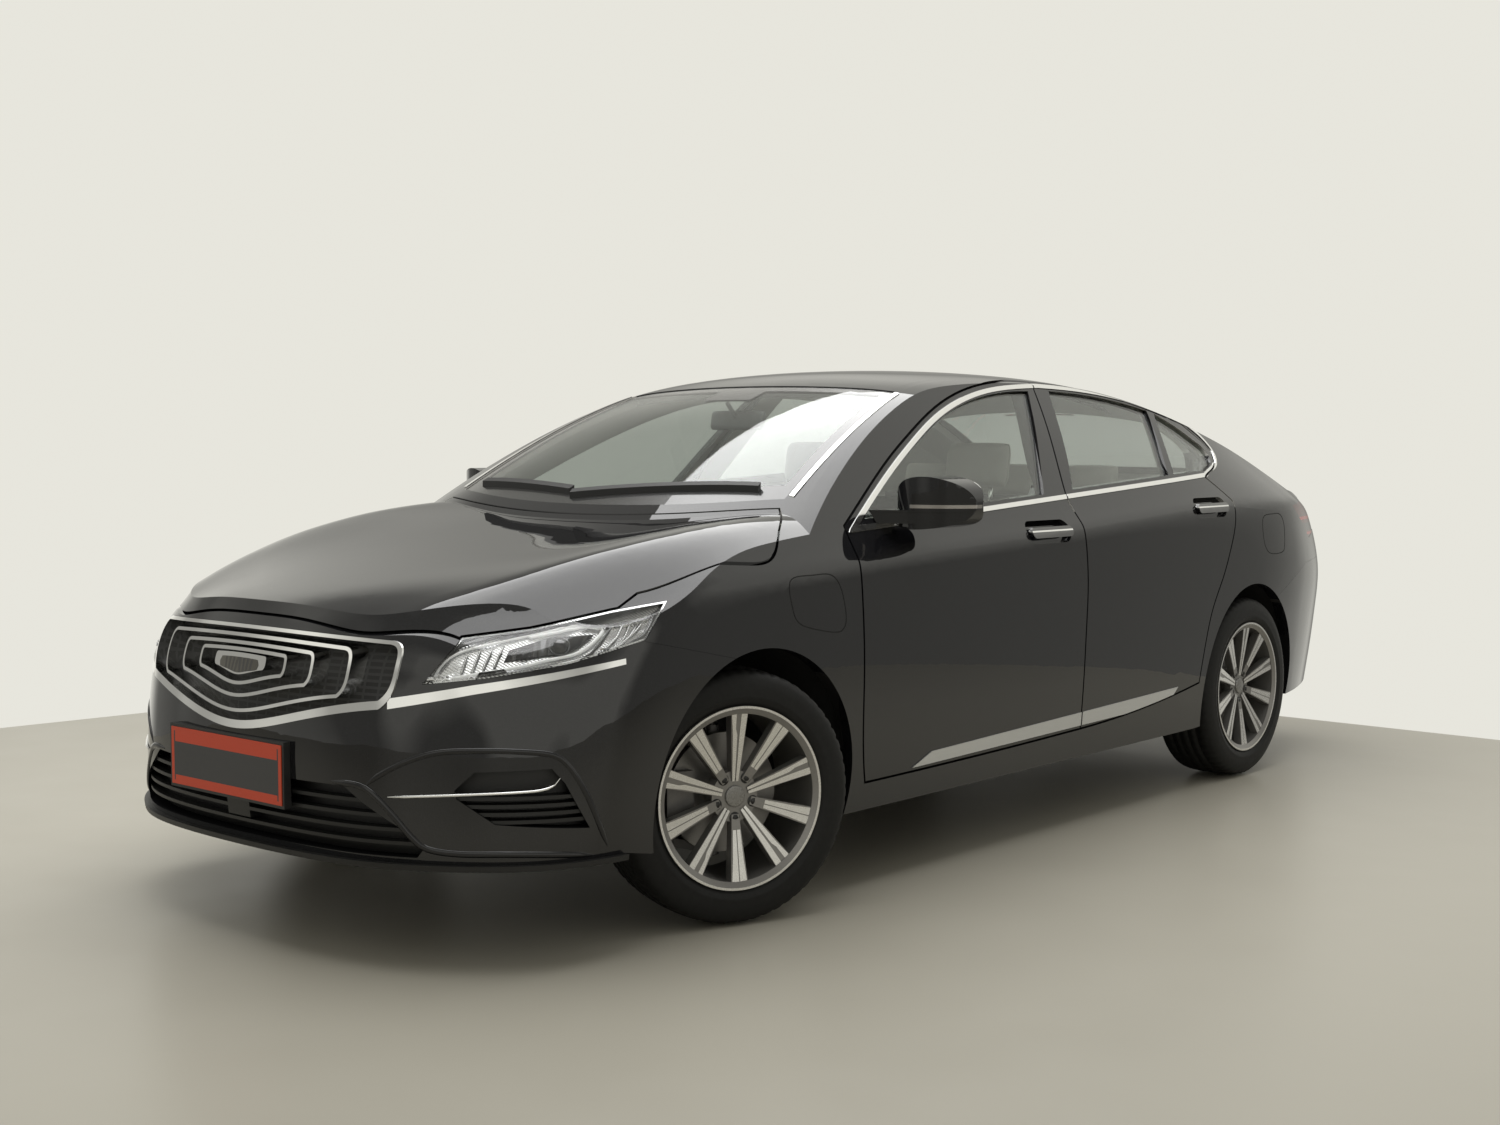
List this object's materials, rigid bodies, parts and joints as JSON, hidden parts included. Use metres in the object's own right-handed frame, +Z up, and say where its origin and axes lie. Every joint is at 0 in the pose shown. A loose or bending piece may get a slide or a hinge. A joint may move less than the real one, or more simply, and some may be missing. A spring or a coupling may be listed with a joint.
{
  "type": "sedan car",
  "caption": "Large four-door saloon with opening doors, hood and boot lid, turning wheels and steered front wheels.",
  "frame": {"origin": "on the ground under the middle of the car's bounding box", "axes": "+Z up, the nose points along -Y, the car's left side is +X"},
  "size_m": [2.1756, 5.006, 1.5117],
  "materials": {
    "paint": "gloss black clear coat",
    "underbody": "satin black",
    "bright_trim": "polished",
    "black_plastic": "grained black",
    "black_gloss": "gloss black",
    "lamp_glass": "clear",
    "red_lens": "red lens",
    "window_glass": "lightly green tinted",
    "cabin_plastic": "soft grained",
    "seat_cloth": "grey hide",
    "engine_metal": "plain",
    "chassis_steel": "black painted",
    "plate_metal": "blank plates in dark holders",
    "knuckle_alloy": "cast",
    "tyre": "black rubber",
    "wheel_alloy": "machined faces, grey pockets"
  },
  "bodies": {
    "body": {"body_shell": "paint", "front_bumper": "paint", "rear_bumper": "paint", "floor_pan": "underbody", "grille": "bright_trim", "grille_backs": "black_plastic", "headlamps": "lamp_glass", "headlamp_tubs": "black_plastic", "tail_lamps": "red_lens", "screens": "window_glass", "dashboard": "cabin_plastic", "seats": "seat_cloth", "arch_liners": "black_plastic", "engine": "engine_metal", "undercarriage": "chassis_steel", "body_trim": "bright_trim", "plates": "plate_metal", "wipers": "black_plastic"},
    "hood": {"hood": "paint"},
    "boot_lid": {"boot_lid": "paint"},
    "hand_wheel": {"steering_wheel": "cabin_plastic"},
    "front_left_door": {"front_left_door": "paint", "front_left_window": "window_glass", "front_left_door_trim": "bright_trim", "left_mirror": "black_gloss"},
    "front_right_door": {"front_right_door": "paint", "front_right_window": "window_glass", "front_right_door_trim": "bright_trim", "right_mirror": "black_gloss"},
    "rear_left_door": {"rear_left_door": "paint", "rear_left_window": "window_glass", "rear_left_door_trim": "bright_trim"},
    "rear_right_door": {"rear_right_door": "paint", "rear_right_window": "window_glass", "rear_right_door_trim": "bright_trim"},
    "left_steer": {"left_knuckle": "knuckle_alloy"},
    "front_left_wheel": {"front_left_tyre": "tyre", "front_left_rim": "wheel_alloy"},
    "rear_left_wheel": {"rear_left_tyre": "tyre", "rear_left_rim": "wheel_alloy"},
    "right_steer": {"right_knuckle": "knuckle_alloy"},
    "front_right_wheel": {"front_right_tyre": "tyre", "front_right_rim": "wheel_alloy"},
    "rear_right_wheel": {"rear_right_tyre": "tyre", "rear_right_rim": "wheel_alloy"}
  },
  "joints": [
    {"name": "front_left_door_hinge", "type": "hinge", "parent": "body", "child": "front_left_door", "pos_m": [0.935, -1.058, 0.66], "axis": [0, 0, -1], "range_deg": [0, 65]},
    {"name": "rear_left_door_hinge", "type": "hinge", "parent": "body", "child": "rear_left_door", "pos_m": [0.935, 0.142, 0.7], "axis": [0, 0, -1], "range_deg": [0, 65]},
    {"name": "front_right_door_hinge", "type": "hinge", "parent": "body", "child": "front_right_door", "pos_m": [-0.935, -1.058, 0.66], "axis": [0, 0, 1], "range_deg": [0, 65]},
    {"name": "rear_right_door_hinge", "type": "hinge", "parent": "body", "child": "rear_right_door", "pos_m": [-0.935, 0.142, 0.7], "axis": [0, 0, 1], "range_deg": [0, 65]},
    {"name": "hood_hinge", "type": "hinge", "parent": "body", "child": "hood", "pos_m": [0, -1.161, 1.085], "axis": [-1, 0, 0], "range_deg": [0, 50]},
    {"name": "boot_lid_hinge", "type": "hinge", "parent": "body", "child": "boot_lid", "pos_m": [0, 2.047, 1.112], "axis": [1, 0, 0], "range_deg": [0, 70]},
    {"name": "left_steer", "type": "hinge", "parent": "body", "child": "left_steer", "pos_m": [0.735, -1.493, 0.3385], "axis": [0, 0, 1], "range_deg": [-15, 55]},
    {"name": "front_left_wheel_spin", "type": "hinge", "parent": "left_steer", "child": "front_left_wheel", "pos_m": [0.79138, -1.51352, 0.3385], "axis": [0.9397, -0.342, 0], "continuous": true},
    {"name": "rear_left_wheel_spin", "type": "hinge", "parent": "body", "child": "rear_left_wheel", "pos_m": [0.795, 1.357, 0.3385], "axis": [1, 0, 0], "continuous": true},
    {"name": "right_steer", "type": "hinge", "parent": "body", "child": "right_steer", "pos_m": [-0.735, -1.493, 0.3385], "axis": [0, 0, 1], "range_deg": [-15, 55]},
    {"name": "front_right_wheel_spin", "type": "hinge", "parent": "right_steer", "child": "front_right_wheel", "pos_m": [-0.79138, -1.47248, 0.3385], "axis": [0.9397, -0.342, 0], "continuous": true},
    {"name": "rear_right_wheel_spin", "type": "hinge", "parent": "body", "child": "rear_right_wheel", "pos_m": [-0.795, 1.357, 0.3385], "axis": [1, 0, 0], "continuous": true},
    {"name": "hand_wheel_turn", "type": "hinge", "parent": "body", "child": "hand_wheel", "pos_m": [0.37034, -0.42795, 0.90492], "axis": [0, 0.9135, 0.4067], "range_deg": [-181, 661]}
  ],
  "couplings": [
    {"joint": "right_steer", "follows": "left_steer", "ratio": 1},
    {"joint": "hand_wheel_turn", "follows": "left_steer", "ratio": 12}
  ]
}
